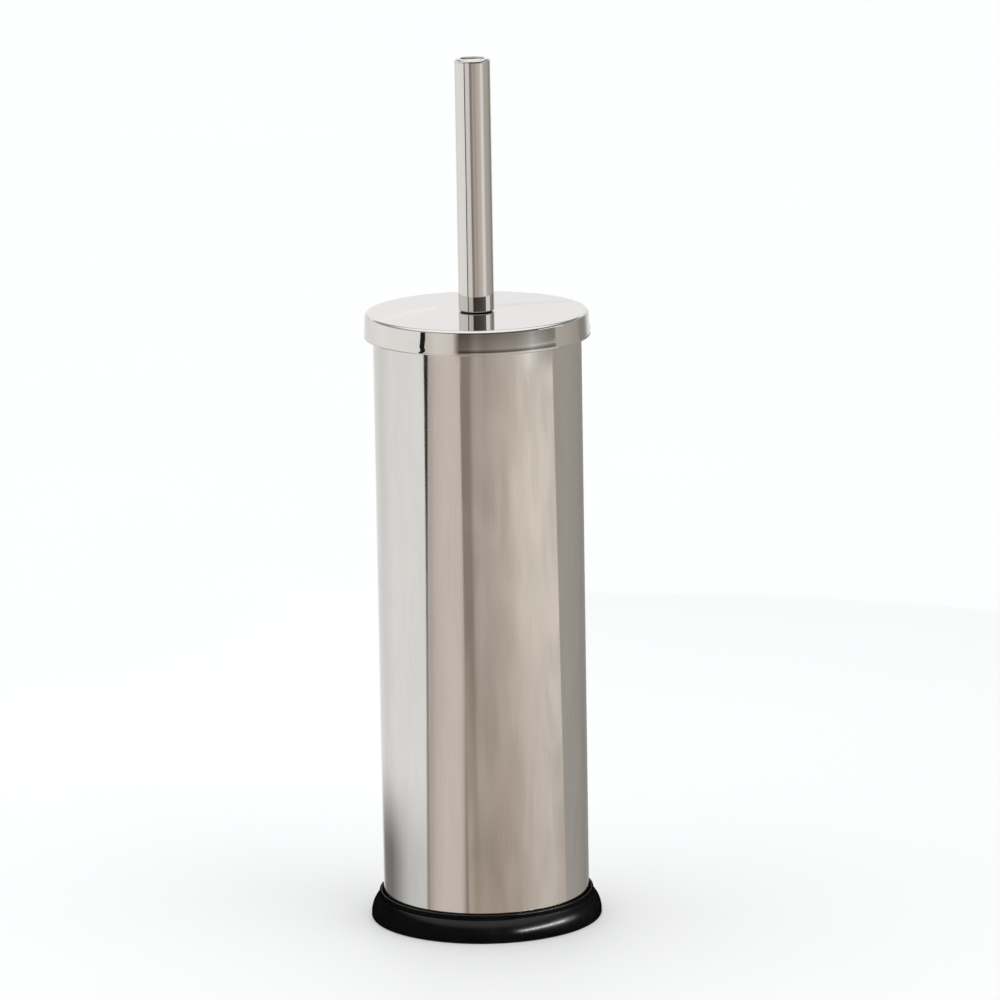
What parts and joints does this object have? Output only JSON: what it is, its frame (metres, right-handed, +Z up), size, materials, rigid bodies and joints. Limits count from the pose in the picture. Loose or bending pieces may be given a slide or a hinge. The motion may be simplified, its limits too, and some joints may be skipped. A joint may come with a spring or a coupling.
{
  "type": "toilet brush holder",
  "caption": "Free-standing round steel tube on a flared plastic foot ring, with a lift-out liner and a round brush whose handle carries the overhanging lid.",
  "frame": {"origin": "on the floor, under the middle of the base ring", "axes": "+Z up along the tube and the handle; the object is round, and +Y points away from the front"},
  "size_m": [0.101, 0.101, 0.378],
  "materials": {
    "polished_steel": "polished stainless steel with faint vertical grain",
    "plate_steel": "plain mill-finish steel",
    "spring_steel": "bright zinc plated",
    "rod_steel": "bright drawn stainless",
    "brass": "machined brass",
    "black_plastic": "satin moulded black",
    "liner_plastic": "satin moulded polypropylene",
    "bush_plastic": "moulded acetal",
    "core_plastic": "moulded white polypropylene",
    "bristle": "white nylon filament"
  },
  "bodies": {
    "holder": {"tube_shell": "polished_steel", "bottom_plate": "plate_steel", "base_ring": "black_plastic"},
    "liner": {"liner": "liner_plastic"},
    "lid": {"lid": "polished_steel", "lid_bush": "bush_plastic"},
    "brush": {"push_nut": "spring_steel", "handle_tube": "polished_steel", "handle_cap": "polished_steel", "handle_plug": "plate_steel", "rod": "rod_steel", "head_insert": "brass", "head_core": "core_plastic", "tuft_row_1": "bristle", "tuft_row_2": "bristle", "tuft_row_3": "bristle", "tuft_row_4": "bristle", "tuft_row_5": "bristle", "tuft_row_6": "bristle", "tuft_row_7": "bristle", "tuft_row_8": "bristle", "tuft_tip": "bristle"}
  },
  "joints": [
    {"name": "liner_lift", "type": "slide", "parent": "holder", "child": "liner", "axis": [0, 0, 1], "range_m": [0, 0.28]},
    {"name": "brush_lift", "type": "slide", "parent": "liner", "child": "lid", "axis": [0, 0, 1], "range_m": [0, 0.28]},
    {"name": "brush_turn", "type": "hinge", "parent": "lid", "child": "brush", "pos_m": [0, 0, 0.2686], "axis": [0, 0, 1], "continuous": true}
  ]
}
